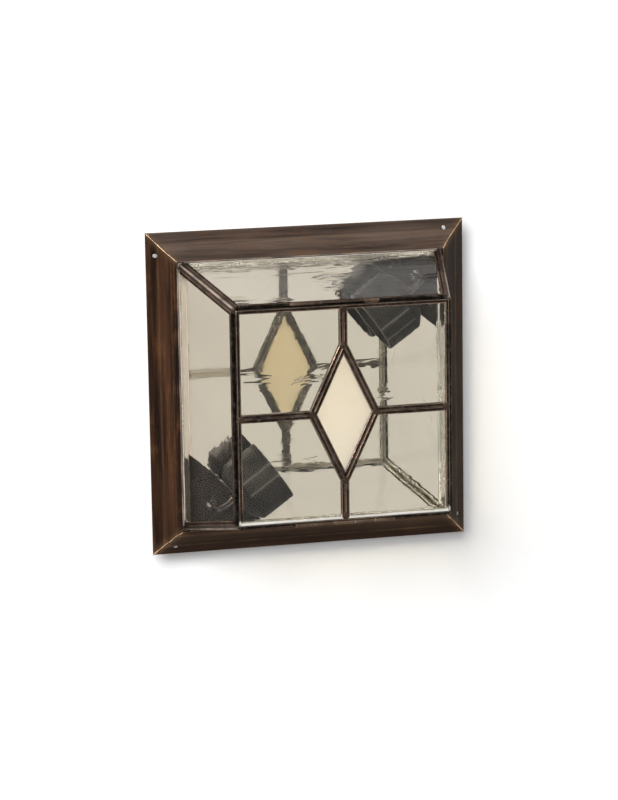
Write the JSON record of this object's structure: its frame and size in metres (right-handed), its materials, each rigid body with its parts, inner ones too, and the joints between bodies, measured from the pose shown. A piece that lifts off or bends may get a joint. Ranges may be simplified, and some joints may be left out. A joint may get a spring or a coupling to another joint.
{
  "type": "ceiling light",
  "caption": "Square leaded-glass ceiling box on a stepped bronze frame, with a mirror behind the lamps and a hinged glazed door held by a sliding bolt.",
  "frame": {"origin": "centre of the frame's flange, on the ceiling plane", "axes": "+Z up into the ceiling; seen from below with +X to the right, -Y is up and is the edge of the door that the bolt is on; the hinge is on the +Y edge"},
  "size_m": [0.3006, 0.3006, 0.1346],
  "materials": {
    "patinated_brass": "dark bronze patina, rubbed bright on its edges",
    "dark_solder": "tin-lead solder with a dark copper patina",
    "bright_brass": "aged drawn brass, worn bright",
    "contact_brass": "bright stamped brass",
    "pan_enamel": "steel sheet with grey enamel",
    "bracket_steel": "steel sheet with dark enamel",
    "plated_steel": "zinc plated",
    "mirror_silver": "silvered float glass",
    "wavy_glass": "clear rolled glass with a faint beige tint and waves",
    "cream_glass": "cream opalescent glass",
    "phenolic": "moulded phenolic, near black",
    "rubber": "black rubber",
    "lead_brown": "brown insulation",
    "lead_blue": "blue insulation",
    "lead_green": "green and yellow insulation",
    "terminal_plastic": "natural nylon"
  },
  "bodies": {
    "housing": {"frame_bar_latch": "patinated_brass", "frame_bar_right": "patinated_brass", "frame_bar_hinge": "patinated_brass", "frame_bar_left": "patinated_brass", "wall_channel_latch": "patinated_brass", "wall_channel_right": "patinated_brass", "wall_channel_hinge": "patinated_brass", "wall_channel_left": "patinated_brass", "frame_mitre_solder": "dark_solder", "wall_ridge_solder": "dark_solder", "wall_base_solder": "dark_solder", "frame_corner_plates": "patinated_brass", "back_pan": "pan_enamel", "pan_screws": "plated_steel", "bracket_screws": "plated_steel", "bracket_nuts": "plated_steel", "bracket_spacers": "plated_steel", "holder_screws": "plated_steel", "terminal_screws": "plated_steel", "earth_stud": "plated_steel", "earth_nut": "plated_steel", "mirror": "mirror_silver", "wall_glass_latch": "wavy_glass", "wall_glass_right": "wavy_glass", "wall_glass_hinge": "wavy_glass", "wall_glass_left": "wavy_glass", "wall_hinge_tubes": "bright_brass", "hinge_pin": "bright_brass", "bolt_guide_tube": "bright_brass", "lamp_bracket_1": "bracket_steel", "lamp_bracket_2": "bracket_steel", "lamp_holder_1": "phenolic", "lamp_holder_2": "phenolic", "screw_shell_1": "contact_brass", "screw_shell_2": "contact_brass", "centre_contacts": "contact_brass", "earth_ring_terminal": "contact_brass", "lead_grommets": "rubber", "lamp_1_lead_live": "lead_brown", "lamp_2_lead_live": "lead_brown", "lamp_1_lead_neutral": "lead_blue", "lamp_2_lead_neutral": "lead_blue", "earth_lead": "lead_green", "terminal_block": "terminal_plastic", "lead_saddles": "terminal_plastic"},
    "door": {"door_glass_latch_left": "wavy_glass", "door_glass_latch_right": "wavy_glass", "door_glass_hinge_left": "wavy_glass", "door_glass_hinge_right": "wavy_glass", "door_glass_diamond": "cream_glass", "door_channel_latch_left": "patinated_brass", "door_channel_latch_right": "patinated_brass", "door_channel_hinge_left": "patinated_brass", "door_channel_hinge_right": "patinated_brass", "door_channel_diamond": "patinated_brass", "door_solder_joints": "dark_solder", "door_hinge_tubes": "bright_brass", "bolt_keeper_tube": "bright_brass"},
    "bolt": {"door_bolt": "bright_brass"}
  },
  "joints": [
    {"name": "door_swing", "type": "hinge", "parent": "housing", "child": "door", "pos_m": [0, 0.0994, -0.1306], "axis": [1, 0, 0], "range_deg": [0, 115]},
    {"name": "bolt_slide", "type": "slide", "parent": "housing", "child": "bolt", "axis": [-1, 0, 0], "range_m": [0, 0.0165]}
  ]
}
